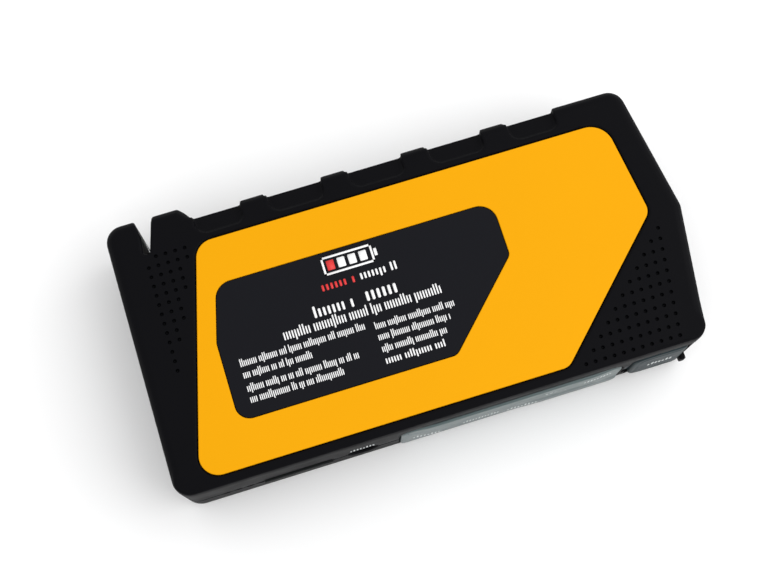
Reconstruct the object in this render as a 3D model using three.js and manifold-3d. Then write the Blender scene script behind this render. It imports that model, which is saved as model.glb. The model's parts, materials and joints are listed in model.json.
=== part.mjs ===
// Handheld jump starter pack: a flat two-shell casing with inlaid plates, a belt cutter notch,
// a rubber flap over four USB ports, a rubber cap over the jump socket, a power button and a lamp.
// Millimetres, +Z up. The pack lies on its front face: X runs along its length, -Y is the wall
// with the ports, and the origin is under its middle on the surface that it lies on.

import * as THREE from "three";
import { mergeVertices } from "three/addons/utils/BufferGeometryUtils.js";
import Module from "manifold-3d";

const wasm = await Module();
wasm.setup();

// ---------------------------------------------------------------- driving dimensions

const HALF_LENGTH = 94;
const HEIGHT = 36;
const PORT_WALL_Y = -45.35;
const BLOCK_LINE_Y = 44.6;
const SCOOP_LINE_Y = 43.4;
const CUTTER_TOP_Y = 48;
const WALL = 2.15;
const GAP = 0.3;
const PART_Z = 15.5;
const PART_GAP = 0.3;

const FLOOR_TOP_Z = 3.3;
const CEILING_Z = 32.5;
const PLATE_SEAT_Z = 34.5;
const FRONT_PLATE_SEAT_Z = 1.3;
const DEEP_WALL_Y = -41.2;
const PORT_AXIS_Z = PART_Z;

const GRIP_PITCH = 28.4;
const GRIP_BLOCK_WIDTH = 8.3;
const FIRST_BLOCK_X = -47.4;
const CORNER_BLOCK_X = 63.9;
const SCOOP_START_X = -64.3;
const SCOOP_INNER_Y = 36.7;
const SCOOP_DEPTH = 3;

const FLAP = { left: -18.7, right: 59.2, bottom: 2.8, top: 26.8, outer: -45.9, inner: -43.5 };
const CAP = { left: 64, right: 82, bottom: 3.5, top: 27, outer: -46.85, inner: -44.2 };
const CAP_TAB = { left: 81.4, right: 83.5, bottom: 4.5, top: 11, outer: -48 };
const POCKET_RIGHT_X = 84.1;
const HINGE_STRIP = { left: -10, right: 50, front: -45.3, back: -44.6, bottom: 1.2, top: 2.6 };
const TETHER = { left: 61.2, right: 63.4, front: -45.3, back: -44.3, bottom: 9.8, top: 21.2 };

const USB_PITCH = 18.6;
const USB_CENTRE_X = 20.25;
const USB_DEPTH = 14;
const USB_OPENING = { halfWidth: 7.1, halfHeight: 3.9 };
const LED_PITCH = 4;
const FIRST_LED_X = -79.5;
const LED_PIPE_RADIUS = 0.95;
const BUTTON_X = -54.5;
const BUTTON = { halfLength: 9.5, radius: 2.6, front: -46.35, flangeFront: -42.9, back: -41.9 };
const JACK_X = -32;
const JACK_RECESS_RADIUS = 5.4;
const SOCKET_X = 72.8;
const SOCKET_OPENING = { halfWidth: 6.8, halfHeight: 10.3 };
const CONTACT_RISE = 5.5;

const BOARD_BOTTOM_Z = 9.3;
const BOARD_TOP_Z = 10.9;
const BOARD_COMPONENT_Z = BOARD_TOP_Z + 0.2;

const CELL = { length: 113, width: 37, thickness: 6.2, pitch: 6.5, x: 1, y: 18, firstZ: 4.9 };
const CELL_END_X = CELL.x + CELL.length / 2;

const LAMP = { x: 90.68, y: 22, angle: THREE.MathUtils.degToRad(8.26), radius: 6.5 };

const SCREWS = [
  [-78.5, -32.5], [-41.2, -34.5], [-62, 28.8], [16, -5.5], [73.5, 28.5], [72.5, -3.5],
];
const SCREW_SEAT_Z = 32.3;

// Outline corners as [x, y, corner radius], counterclockwise.
const CASING_CORNERS = [
  [-HALF_LENGTH, PORT_WALL_Y, 6],
  [86.9, PORT_WALL_Y, 5.5],
  [HALF_LENGTH, -0.85, 3],
  [87.4, BLOCK_LINE_Y, 5.5],
  [-65.1, BLOCK_LINE_Y, 1.2],
  [-68.5, CUTTER_TOP_Y, 0.8],
  [-HALF_LENGTH, CUTTER_TOP_Y, 5.5],
];
const CAVITY_CORNERS = [
  [-HALF_LENGTH + WALL, PORT_WALL_Y + WALL, 3],
  [-21.5, PORT_WALL_Y + WALL, 0],
  [-21.5, DEEP_WALL_Y, 0],
  [85.2, DEEP_WALL_Y, 3],
  [91.7, -0.85, 1],
  [85.5, SCOOP_LINE_Y - WALL, 3],
  [-63, SCOOP_LINE_Y - WALL, 2],
  [-72, 30, 2],
  [-HALF_LENGTH + WALL, 28, 2],
];
const INLAY_CORNERS = [
  [-86.1, -42.65, 9.5],
  [39.8, -42.65, 5],
  [82.8, -0.35, 5],
  [78.6, 34.2, 8],
  [-65.7, 34.2, 7],
];
const LABEL_CORNERS = [
  [-67.9, -27.75, 6.5],
  [6.05, -27.75, 3.5],
  [33.1, -0.65, 3],
  [33.1, 18.35, 6],
  [-62.9, 18.35, 6],
  [-67.9, -0.85, 3],
];

// Casing edge rounding: [height, how far the outline stands in at that height].
const EDGE_LEVELS = [
  [0, 1.5], [0.6, 0.5], [2, 0],
  [33.8, 0], [34.6, 0.4], [HEIGHT, 2],
];

// ---------------------------------------------------------------- outlines

function roundedOutline(corners, steps = 4) {
  const points = [];
  corners.forEach(([x, y, radius], index) => {
    const corner = new THREE.Vector2(x, y);
    if (!radius) {
      points.push(corner);
      return;
    }
    const before = corners[(index + corners.length - 1) % corners.length];
    const after = corners[(index + 1) % corners.length];
    const toBefore = new THREE.Vector2(before[0] - x, before[1] - y).normalize();
    const toAfter = new THREE.Vector2(after[0] - x, after[1] - y).normalize();
    const halfAngle = Math.acos(toBefore.dot(toAfter)) / 2;
    const middle = toBefore.clone().add(toAfter).normalize();
    const centre = corner.clone().addScaledVector(middle, radius / Math.sin(halfAngle));
    const start = corner.clone().addScaledVector(toBefore, radius / Math.tan(halfAngle));
    const turn = (Math.PI - 2 * halfAngle) * Math.sign(toAfter.cross(toBefore));
    for (let step = 0; step <= steps; step += 1) {
      points.push(start.clone().rotateAround(centre, (turn * step) / steps));
    }
  });
  return points;
}

function insetCorners(corners, distance) {
  return corners.map(([x, y, radius], index) => {
    const before = corners[(index + corners.length - 1) % corners.length];
    const after = corners[(index + 1) % corners.length];
    const along = new THREE.Vector2(x - before[0], y - before[1]).normalize();
    const onward = new THREE.Vector2(after[0] - x, after[1] - y).normalize();
    const turn = along.cross(onward);
    const slide = (distance * (1 - along.dot(onward))) / turn;
    const inward = new THREE.Vector2(-along.y, along.x).multiplyScalar(distance);
    const grown = radius - distance * Math.sign(turn);
    return [
      x + inward.x - along.x * slide,
      y + inward.y - along.y * slide,
      radius ? Math.max(grown, 0.05) : 0,
    ];
  });
}

function circle(x, y, radius, sides = 16) {
  return Array.from({ length: sides }, (_, index) => {
    const angle = (index / sides) * 2 * Math.PI;
    return new THREE.Vector2(x + radius * Math.cos(angle), y + radius * Math.sin(angle));
  });
}

function rectangle(left, bottom, right, top, radius = 0) {
  return roundedOutline([
    [left, bottom, radius], [right, bottom, radius], [right, top, radius], [left, top, radius],
  ]);
}

function pill(x, y, halfLength, radius) {
  return rectangle(x - halfLength, y - radius, x + halfLength, y + radius, radius * 0.999);
}

// ---------------------------------------------------------------- solids

function prism(outline, low, high, holes = []) {
  const shape = new THREE.Shape(outline);
  shape.holes = holes.map((hole) => new THREE.Path(hole));
  const geometry = new THREE.ExtrudeGeometry(shape, { depth: high - low, bevelEnabled: false });
  return geometry.translate(0, 0, low);
}

// A prism whose outline is given in X and Z, running along Y.
function wallPrism(outline, front, back, holes = []) {
  return prism(outline, -back, -front, holes).rotateX(Math.PI / 2);
}

// A prism whose outline is given in Y and Z, running along X.
function lengthPrism(outline, left, right) {
  const turned = new THREE.Matrix4().makeBasis(
    new THREE.Vector3(0, 1, 0), new THREE.Vector3(0, 0, 1), new THREE.Vector3(1, 0, 0),
  );
  return prism(outline, left, right).applyMatrix4(turned);
}

function box(left, right, front, back, low, high) {
  const geometry = new THREE.BoxGeometry(right - left, back - front, high - low);
  return geometry.translate((left + right) / 2, (front + back) / 2, (low + high) / 2);
}

// A solid through stacked outlines that have the same number of points.
function loft(levels) {
  const count = levels[0].outline.length;
  const positions = levels.flatMap(({ z, outline }) => outline.flatMap(({ x, y }) => [x, y, z]));
  const indices = [];
  for (let level = 0; level + 1 < levels.length; level += 1) {
    for (let side = 0; side < count; side += 1) {
      const low = level * count + side;
      const lowNext = level * count + ((side + 1) % count);
      indices.push(low, lowNext, lowNext + count, low, lowNext + count, low + count);
    }
  }
  const top = (levels.length - 1) * count;
  const capOf = (level) => THREE.ShapeUtils.triangulateShape(level.outline, []);
  capOf(levels[0]).forEach(([a, b, c]) => indices.push(a, c, b));
  capOf(levels[levels.length - 1]).forEach(([a, b, c]) => indices.push(top + a, top + b, top + c));
  const geometry = new THREE.BufferGeometry();
  geometry.setAttribute("position", new THREE.Float32BufferAttribute(positions, 3));
  geometry.setIndex(indices);
  return geometry;
}

function toSolid(geometry) {
  const bare = geometry.clone();
  bare.deleteAttribute("normal");
  bare.deleteAttribute("uv");
  const merged = mergeVertices(bare, 1e-4);
  return new wasm.Manifold(new wasm.Mesh({
    numProp: 3,
    vertProperties: new Float32Array(merged.attributes.position.array),
    triVerts: new Uint32Array(merged.index.array),
  }));
}

function join(...geometries) {
  return geometries.map(toSolid).reduce((whole, piece) => whole.add(piece));
}

function cut(solid, ...geometries) {
  return geometries.map(toSolid).reduce((whole, piece) => whole.subtract(piece), solid);
}

function toGeometry(solid) {
  const mesh = solid.getMesh();
  const geometry = new THREE.BufferGeometry();
  geometry.setAttribute("position", new THREE.Float32BufferAttribute(mesh.vertProperties, 3));
  geometry.setIndex(Array.from(mesh.triVerts));
  const faceted = geometry.toNonIndexed();
  faceted.computeVertexNormals();
  return faceted;
}

// ---------------------------------------------------------------- materials and nodes

const pack = new THREE.Group();

const FINISHES = {
  casing: { color: 0x17181b, roughness: 0.72, metalness: 0 },
  inlay: { color: 0xf5ab0c, roughness: 0.5, metalness: 0 },
  label: { color: 0x202126, roughness: 0.6, metalness: 0 },
  rubber: { color: 0x1c1d1f, roughness: 0.85, metalness: 0 },
  steel: { color: 0xc4c7ca, roughness: 0.3, metalness: 1 },
  brass: { color: 0xc9a24a, roughness: 0.3, metalness: 1 },
  socket: { color: 0x1d4fa8, roughness: 0.5, metalness: 0 },
  insulator: { color: 0xe9e9e6, roughness: 0.5, metalness: 0 },
  dark: { color: 0x0e0f10, roughness: 0.5, metalness: 0 },
  clear: { color: 0xe6eef2, roughness: 0.1, metalness: 0 },
  board: { color: 0x1f5a35, roughness: 0.5, metalness: 0 },
  cell: { color: 0xb9bec4, roughness: 0.35, metalness: 0.6 },
  nickel: { color: 0xcfd0cc, roughness: 0.35, metalness: 1 },
  foam: { color: 0x3a3b3d, roughness: 0.95, metalness: 0 },
  red: { color: 0xb3161c, roughness: 0.6, metalness: 0 },
  wireBlack: { color: 0x141414, roughness: 0.6, metalness: 0 },
  reflector: { color: 0xd8dadc, roughness: 0.15, metalness: 1 },
};

function addNode(name, shape, finish, position = [0, 0, 0], turn = 0) {
  const geometry = shape.isBufferGeometry ? shape : toGeometry(shape);
  const mesh = new THREE.Mesh(geometry, new THREE.MeshStandardMaterial(FINISHES[finish]));
  mesh.name = name;
  mesh.position.set(...position);
  mesh.rotation.z = turn;
  pack.add(mesh);
}

// ---------------------------------------------------------------- casing

function scoopSpans() {
  const lefts = [SCOOP_START_X];
  const rights = [];
  for (let index = 0; index < 4; index += 1) {
    const blockLeft = FIRST_BLOCK_X + GRIP_PITCH * index;
    rights.push(blockLeft);
    lefts.push(blockLeft + GRIP_BLOCK_WIDTH);
  }
  rights.push(CORNER_BLOCK_X);
  return lefts.map((left, index) => [left, rights[index]]);
}

// Finger scoops between the grip blocks: each cuts the wall back to the scoop line
// and slopes into both faces with a hollow that has rounded inner corners.
function cutScoops(body) {
  const ramp = 1;
  const reach = 50;
  const outerDrop = (SCOOP_DEPTH * (reach - SCOOP_INNER_Y)) / (SCOOP_LINE_Y - SCOOP_INNER_Y);
  const slope = (face, outward) => lengthPrism([
    [SCOOP_INNER_Y, face], [reach, face - outward * outerDrop],
    [reach, face + outward * 5], [SCOOP_INNER_Y, face + outward * 5],
  ].map(([y, z]) => new THREE.Vector2(y, z)), -70, 70);
  const slopes = [toSolid(slope(HEIGHT, 1)), toSolid(slope(0, -1))];
  return scoopSpans().reduce((rest, [left, right]) => {
    const wallCut = prism(roundedOutline([
      [left + ramp, SCOOP_LINE_Y, 0], [right - ramp, SCOOP_LINE_Y, 0],
      [right + ramp, reach, 0], [left - ramp, reach, 0],
    ]), -1, HEIGHT + 1);
    const hollow = toSolid(prism(roundedOutline([
      [left + ramp, SCOOP_INNER_Y, 4], [right - ramp, SCOOP_INNER_Y, 4],
      [right - ramp, reach, 0], [left + ramp, reach, 0],
    ]), -6, HEIGHT + 6));
    const faceCuts = slopes.map((side) => hollow.intersect(side));
    return faceCuts.reduce((whole, piece) => whole.subtract(piece), cut(rest, wallCut));
  }, body);
}

// The belt cutter notch: a straight left wall and a slanted right wall, through the whole casing.
const NOTCH_OUTLINE = roundedOutline([
  [-83.4, 34.8, 0.8], [-80.5, 34.8, 0.6], [-76.9, CUTTER_TOP_Y, 0], [-76.3, 50.2, 0], [-83.4, 50.2, 0],
], 2);
const BLADE_CORNERS = [
  [-88.6, 33.2, 0.6], [-81.2, 33.2, 0.3], [-80.9, 35, 0], [-83.2, 46.6, 0], [-89.8, 45.2, 0.6],
];
const BLADE_PINS = [[-86.8, 36.6], [-87.6, 43]];

function screwPost(x, y, radius, low, high) {
  return prism(circle(x, y, radius, 14), low, high);
}

// Everything that is cut into the port wall, and the lamp's bore in the end wall.
function portCuts() {
  const outside = PORT_WALL_Y - 4;
  const behindThinWall = PORT_WALL_Y + WALL + 1;
  const behindDeepWall = DEEP_WALL_Y + 1.2;
  const opening = (x, { halfWidth, halfHeight }) => wallPrism(rectangle(
    x - halfWidth, PORT_AXIS_Z - halfHeight, x + halfWidth, PORT_AXIS_Z + halfHeight,
  ), outside, behindDeepWall);
  const ledHole = (x) => circle(x, PORT_AXIS_Z, LED_PIPE_RADIUS + GAP, 10);
  const buttonHole = pill(BUTTON_X, PORT_AXIS_Z, BUTTON.halfLength + GAP, BUTTON.radius + GAP);
  return [
    ...usbCentres().map((x) => opening(x, USB_OPENING)),
    ...ledCentres().map((x) => wallPrism(ledHole(x), outside, behindThinWall)),
    wallPrism(buttonHole, outside, behindThinWall),
    wallPrism(circle(JACK_X, PORT_AXIS_Z, JACK_RECESS_RADIUS, 20), outside, behindThinWall),
    wallPrism(rectangle(
      FLAP.left - GAP, FLAP.bottom - GAP, FLAP.right + GAP, FLAP.top + GAP, 2.4,
    ), outside, FLAP.inner + GAP),
    wallPrism(rectangle(
      CAP.left - GAP, CAP.bottom - GAP, POCKET_RIGHT_X, CAP.top + GAP,
    ), outside, CAP.inner + GAP),
    opening(SOCKET_X, SOCKET_OPENING),
    box(
      TETHER.left - GAP, CAP.left, outside, TETHER.back + GAP,
      TETHER.bottom - GAP, TETHER.top + GAP,
    ),
    box(
      HINGE_STRIP.left - GAP, HINGE_STRIP.right + GAP, outside, HINGE_STRIP.back + GAP,
      HINGE_STRIP.bottom - GAP, FLAP.bottom + 0.2,
    ),
    prism(circle(0, 0, LAMP.radius + GAP, 24), -6, 6)
      .rotateY(Math.PI / 2).rotateZ(LAMP.angle).translate(LAMP.x, LAMP.y, PORT_AXIS_Z),
  ];
}

function casingBlock() {
  const levels = EDGE_LEVELS.map(([z, inset]) => (
    { z, outline: roundedOutline(insetCorners(CASING_CORNERS, inset)) }
  ));
  const seat = roundedOutline(insetCorners(INLAY_CORNERS, -GAP));
  const hollow = prism(roundedOutline(CAVITY_CORNERS, 3), FLOOR_TOP_Z, CEILING_Z);
  const bladePocket = prism(
    roundedOutline(insetCorners(BLADE_CORNERS, -GAP), 2), PART_Z - 0.6, PART_Z + 0.6,
  );
  return cut(
    cutScoops(toSolid(loft(levels))),
    prism(NOTCH_OUTLINE, -1, HEIGHT + 1),
    hollow,
    bladePocket,
    prism(seat, PLATE_SEAT_Z, HEIGHT + 1),
    prism(seat, -1, FRONT_PLATE_SEAT_Z),
    ...portCuts(),
  );
}

function addCasing() {
  const block = casingBlock();
  const slab = (low, high) => toSolid(box(-100, 100, -55, 55, low, high));
  const screwHoles = SCREWS.map(([x, y]) => screwPost(x, y, 1.6, 5.5, HEIGHT));
  const headSeats = SCREWS.map(([x, y]) => screwPost(x, y, 3, SCREW_SEAT_Z, HEIGHT));
  const backTop = block.intersect(slab(PART_Z + PART_GAP / 2, HEIGHT + 1));
  const backPosts = SCREWS.map(([x, y]) => (
    toSolid(screwPost(x, y, 3.8, PART_Z + PART_GAP / 2, CEILING_Z + 0.5))
  ));
  const back = backPosts.reduce((whole, post) => whole.add(post), backTop);
  addNode("back_shell", cut(back, ...screwHoles, ...headSeats), "casing");

  const frontBottom = block.intersect(slab(-1, PART_Z - PART_GAP / 2));
  const frontPosts = SCREWS.map(([x, y]) => (
    toSolid(screwPost(x, y, 3.4, FLOOR_TOP_Z - 0.5, PART_Z - PART_GAP / 2))
  ));
  const boardRibs = [-66, -22, 6, 40].map((x) => (
    toSolid(box(x - 0.8, x + 0.8, -27, -13, FLOOR_TOP_Z - 0.5, BOARD_BOTTOM_Z - 0.2))
  ));
  const bladePins = BLADE_PINS.map(([x, y]) => (
    toSolid(prism(circle(x, y, 0.8, 8), PART_Z - 1, PART_Z + 0.35))
  ));
  const front = [...frontPosts, ...boardRibs].reduce((whole, piece) => whole.add(piece), frontBottom);
  const drilled = cut(front, ...screwHoles);
  addNode("front_shell", bladePins.reduce((whole, pin) => whole.add(pin), drilled), "casing");
}

function addPlates() {
  const inlay = roundedOutline(INLAY_CORNERS);
  const label = roundedOutline(LABEL_CORNERS);
  const labelWindow = roundedOutline(insetCorners(LABEL_CORNERS, -GAP));
  addNode("back_inlay_plate", prism(inlay, PLATE_SEAT_Z + 0.2, HEIGHT, [labelWindow]), "inlay");
  addNode("rating_label_plate", prism(label, PLATE_SEAT_Z + 0.2, HEIGHT), "label");
  addNode("front_inlay_plate", prism(inlay, 0.25, FRONT_PLATE_SEAT_Z - 0.2), "inlay");
}

function addCaseScrews() {
  const profile = [[0, 6], [0.9, 6.8], [1.3, 8], [1.3, SCREW_SEAT_Z + 0.05],
    [2.7, SCREW_SEAT_Z + 0.05], [2.7, SCREW_SEAT_Z + 1.1], [1.9, SCREW_SEAT_Z + 1.9],
    [0, SCREW_SEAT_Z + 1.9]].map(([x, y]) => new THREE.Vector2(x, y));
  SCREWS.forEach(([x, y], index) => {
    const screw = new THREE.LatheGeometry(profile, 12).rotateX(Math.PI / 2);
    addNode(`case_screw_${index + 1}`, toSolid(screw), "steel", [x, y, 0]);
  });
}

function addCutterBlade() {
  const pinHoles = BLADE_PINS.map(([x, y]) => circle(x, y, 1.15, 8));
  const blade = prism(roundedOutline(BLADE_CORNERS, 2), PART_Z - 0.3, PART_Z + 0.3, pinHoles);
  addNode("cutter_blade", blade, "steel");
}

// ---------------------------------------------------------------- rubber flap and cap

function addUsbFlap() {
  const outline = rectangle(FLAP.left, FLAP.bottom, FLAP.right, FLAP.top, 2.2);
  addNode("usb_flap", wallPrism(outline, FLAP.outer, FLAP.inner), "rubber");
  const { left, right, front, back, bottom, top } = HINGE_STRIP;
  addNode("usb_flap_hinge", box(left, right, front, back, bottom, top), "rubber");
}

function addSocketCap() {
  const lid = wallPrism(roundedOutline([
    [CAP.left, CAP.bottom, 5], [CAP.right, CAP.bottom, 2],
    [CAP.right, CAP.top, 2], [CAP.left, CAP.top, 5],
  ]), CAP.outer, CAP.inner);
  const tab = box(
    CAP_TAB.left, CAP_TAB.right, CAP_TAB.outer, CAP.inner - 0.6, CAP_TAB.bottom, CAP_TAB.top,
  );
  addNode("socket_cap", join(lid, tab), "rubber");
  const { left, right, front, back, bottom, top } = TETHER;
  addNode("socket_cap_tether", box(left, right, front, back, bottom, top), "rubber");
}

// ---------------------------------------------------------------- sockets and ports

function addJumpSocket() {
  const across = (half, rise) => [
    SOCKET_X - half, PORT_AXIS_Z - rise, SOCKET_X + half, PORT_AXIS_Z + rise,
  ];
  const body = join(
    wallPrism(rectangle(...across(6.5, 10), 1.5), CAP.inner + GAP, -22),
    wallPrism(rectangle(...across(8.2, 11.6), 1), -40.9, -39.2),
  );
  const contactBores = [-1, 1].map((side) => (
    wallPrism(circle(SOCKET_X, PORT_AXIS_Z + side * CONTACT_RISE, 2.9, 16), -40, -20)
  ));
  const mouth = wallPrism(rectangle(...across(5, 8.5), 1), -46, -36.5);
  addNode("jump_socket_housing", cut(body, mouth, ...contactBores), "socket");

  const contact = (side) => cut(
    toSolid(wallPrism(circle(SOCKET_X, PORT_AXIS_Z + side * CONTACT_RISE, 2.6, 16), -36.2, -16)),
    wallPrism(circle(SOCKET_X, PORT_AXIS_Z + side * CONTACT_RISE, 1.9, 12), -37, -24),
  );
  addNode("jump_contact_positive", contact(-1), "brass");
  addNode("jump_contact_negative", contact(1), "brass");
}

function addChargeJack() {
  const body = join(
    wallPrism(circle(JACK_X, PORT_AXIS_Z, 5.1, 20), -44.8, -42.9),
    box(JACK_X - 5.3, JACK_X + 5.3, -43, -30, BOARD_COMPONENT_Z, PORT_AXIS_Z + 5.1),
  );
  addNode("charge_jack_housing", cut(
    body,
    wallPrism(circle(JACK_X, PORT_AXIS_Z, 3.1, 16), -46, -34),
    wallPrism(circle(JACK_X, PORT_AXIS_Z, 1.3, 10), -35, -29),
  ), "dark");
  addNode("charge_jack_pin", wallPrism(circle(JACK_X, PORT_AXIS_Z, 1, 10), -43.6, -30.6), "nickel");
}

function usbCentres() {
  return [0, 1, 2, 3].map((index) => USB_CENTRE_X + USB_PITCH * (index - 1.5));
}

function addUsbPorts() {
  const front = FLAP.inner + 0.5;
  const shell = cut(
    toSolid(wallPrism(rectangle(-6.6, -3, 6.6, 3, 0.4), 0, USB_DEPTH)),
    wallPrism(rectangle(-6.25, -2.65, 6.25, 2.65), -1, USB_DEPTH + 1),
  );
  const insulator = join(
    box(-5.95, 5.95, 10.5, USB_DEPTH, -2.35, 2.35),
    box(-5.5, 5.5, 1, 11, -0.1, 1.7),
  );
  usbCentres().forEach((x, index) => {
    const place = [x, front, PORT_AXIS_Z];
    addNode(`usb_port_shell_${index + 1}`, shell, "nickel", place);
    addNode(`usb_port_insulator_${index + 1}`, insulator, "insulator", place);
  });
}

// ---------------------------------------------------------------- controls

function addPowerButton() {
  const { halfLength, radius, front, flangeFront, back } = BUTTON;
  const button = join(
    wallPrism(pill(BUTTON_X, PORT_AXIS_Z, halfLength, radius), front, flangeFront + 0.5),
    wallPrism(pill(BUTTON_X, PORT_AXIS_Z, halfLength + 1.3, radius + 1.2), flangeFront, back),
  );
  addNode("power_button", button, "rubber");
  const body = box(BUTTON_X - 3, BUTTON_X + 3, -40.5, -36.5, BOARD_COMPONENT_Z, PORT_AXIS_Z + 3);
  const plungerBore = wallPrism(circle(BUTTON_X, PORT_AXIS_Z, 1.9, 12), -41, -38.2);
  addNode("power_switch_body", cut(toSolid(body), plungerBore), "dark");
  const plunger = wallPrism(circle(BUTTON_X, PORT_AXIS_Z, 1.6, 12), -41.6, -39.4);
  addNode("power_switch_plunger", plunger, "insulator");
}

function ledCentres() {
  return [0, 1, 2, 3].map((index) => FIRST_LED_X + LED_PITCH * index);
}

function addChargeLeds() {
  const lightPipe = wallPrism(circle(0, 0, LED_PIPE_RADIUS, 10), PORT_WALL_Y - 0.1, -42.8);
  const led = box(-1.1, 1.1, -42.3, -40.7, BOARD_COMPONENT_Z - PORT_AXIS_Z, 1.2);
  ledCentres().forEach((x, index) => {
    addNode(`charge_led_window_${index + 1}`, lightPipe, "clear", [x, 0, PORT_AXIS_Z]);
    addNode(`charge_led_${index + 1}`, led, "insulator", [x, 0, PORT_AXIS_Z]);
  });
}

// ---------------------------------------------------------------- electronics and battery

function addMainBoard() {
  const outline = roundedOutline([
    [-86, -42.7, 1], [-22, -42.7, 0], [-22, DEEP_WALL_Y + 0.4, 0],
    [57, DEEP_WALL_Y + 0.4, 1], [57, -9.9, 1], [-86, -9.9, 1],
  ]);
  const board = prism(outline, BOARD_BOTTOM_Z, BOARD_TOP_Z, [
    circle(SCREWS[0][0], SCREWS[0][1], 4.2, 14),
    circle(SCREWS[1][0], SCREWS[1][1], 4.2, 14),
  ]);
  addNode("main_board", board, "board");
  const inductorTop = BOARD_COMPONENT_Z + 7;
  addNode("power_inductor", prism(circle(-58, -22, 6.5, 16), BOARD_COMPONENT_Z, inductorTop), "dark");
  const canTop = BOARD_COMPONENT_Z + 13;
  addNode("filter_capacitor", prism(circle(-14, -19, 4, 16), BOARD_COMPONENT_Z, canTop), "cell");
  addNode("control_chip", box(12, 21, -24, -15, BOARD_COMPONENT_Z, BOARD_COMPONENT_Z + 1.2), "dark");
}

function addBattery() {
  const { length, width, thickness, pitch, x, y, firstZ } = CELL;
  const cell = prism(rectangle(-length / 2, -width / 2, length / 2, width / 2, 2.5), 0, thickness);
  const pad = (low, high) => box(
    x - length / 2 + 4, x + length / 2 - 4, y - width / 2 + 2, y + width / 2 - 2, low, high,
  );
  addNode("foam_pad_lower", pad(FLOOR_TOP_Z + 0.3, firstZ - 0.3), "foam");
  addNode("foam_pad_upper", pad(firstZ + 3 * pitch + thickness + 0.3, CEILING_Z - 0.3), "foam");
  for (let index = 0; index < 4; index += 1) {
    addNode(`battery_cell_${index + 1}`, cell, "cell", [x, y, firstZ + pitch * index]);
  }
  const linkX = CELL_END_X + 0.5;
  for (let index = 0; index < 3; index += 1) {
    const low = firstZ + pitch * index + 1.1;
    const linkY = index % 2 ? 4 : 26;
    const link = box(linkX, linkX + 0.5, linkY, linkY + 8, low, low + pitch + 4);
    addNode(`cell_link_${index + 1}`, link, "nickel");
  }
}

// The two heavy leads run from the outer cells past the screw post to the jump contacts.
function addBatteryLeads() {
  const start = CELL_END_X + 1.7;
  const lead = (cellZ, contactZ) => {
    const height = (share) => THREE.MathUtils.lerp(cellZ, contactZ, share);
    const route = new THREE.CatmullRomCurve3([
      [start, 6.4, height(0)], [62.5, 4.5, height(0.05)], [65, -3, height(0.4)],
      [66.6, -8.6, height(0.75)], [70.2, -11.4, height(0.97)],
      [SOCKET_X, -13.4, height(1)], [SOCKET_X, -15.7, height(1)],
    ].map((point) => new THREE.Vector3(...point)));
    const section = new THREE.Shape(circle(0, 0, 1.9, 8));
    return new THREE.ExtrudeGeometry(section, { steps: 22, bevelEnabled: false, extrudePath: route });
  };
  addNode("battery_lead_positive", toSolid(lead(8, PORT_AXIS_Z - CONTACT_RISE)), "red");
  addNode("battery_lead_negative", toSolid(lead(27.5, PORT_AXIS_Z + CONTACT_RISE)), "wireBlack");
}

// ---------------------------------------------------------------- lamp

// Lathe profiles give [radius, distance along the lamp's axis], with 0 at the casing's skin.
function addLamp() {
  const turned = (profile) => toSolid(new THREE.LatheGeometry(
    profile.map(([radius, along]) => new THREE.Vector2(radius, along)), 20,
  ).rotateZ(-Math.PI / 2));
  const place = [LAMP.x, LAMP.y, PORT_AXIS_Z];
  const { radius, angle } = LAMP;
  const lens = [[0, -1.6], [radius, -1.6], [radius, -0.4], [3.5, 0], [0, 0.1]];
  addNode("lamp_lens", turned(lens), "clear", place, angle);
  const reflector = [[2.4, -8.5], [radius, -8.5], [radius, -1.9], [5.9, -1.9], [2.4, -8], [2.4, -8.5]];
  addNode("lamp_reflector", turned(reflector), "reflector", place, angle);
  const emitter = [[0, -10.4], [5.5, -10.4], [5.5, -8.9], [1.8, -8.9], [1.6, -7.4], [0, -6.9]];
  addNode("lamp_emitter", turned(emitter), "insulator", place, angle);
}

addCasing();
addPlates();
addCaseScrews();
addCutterBlade();
addUsbFlap();
addSocketCap();
addJumpSocket();
addChargeJack();
addUsbPorts();
addPowerButton();
addChargeLeds();
addMainBoard();
addBattery();
addBatteryLeads();
addLamp();

export default pack;
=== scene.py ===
"""Jump starter pack: casing, plates, print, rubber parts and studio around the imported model.

Blender works in metres; the outlines and fields below are in millimetres and are scaled when a
mesh is made. X runs along the pack, -Y is the port wall and +Z is up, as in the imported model.
"""

import json
import math

import bmesh
import bpy
import numpy as np
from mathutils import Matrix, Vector


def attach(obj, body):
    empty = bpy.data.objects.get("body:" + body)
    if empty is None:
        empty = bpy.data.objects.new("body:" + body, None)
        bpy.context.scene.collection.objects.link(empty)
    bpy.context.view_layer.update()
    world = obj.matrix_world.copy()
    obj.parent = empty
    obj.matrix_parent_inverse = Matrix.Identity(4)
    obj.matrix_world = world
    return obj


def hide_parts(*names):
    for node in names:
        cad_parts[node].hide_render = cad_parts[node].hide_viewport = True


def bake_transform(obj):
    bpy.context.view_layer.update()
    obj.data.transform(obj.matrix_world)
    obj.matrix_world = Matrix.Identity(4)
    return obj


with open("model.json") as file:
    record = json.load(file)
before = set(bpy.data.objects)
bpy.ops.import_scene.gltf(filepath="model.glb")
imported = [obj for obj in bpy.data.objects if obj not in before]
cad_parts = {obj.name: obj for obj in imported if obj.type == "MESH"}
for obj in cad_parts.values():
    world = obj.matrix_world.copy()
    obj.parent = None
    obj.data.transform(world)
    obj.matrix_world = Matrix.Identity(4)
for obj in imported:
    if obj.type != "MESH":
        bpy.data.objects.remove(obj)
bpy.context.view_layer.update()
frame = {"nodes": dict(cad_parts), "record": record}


# ---------------------------------------------------------------- dimensions, millimetres

MM = 0.001

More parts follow.
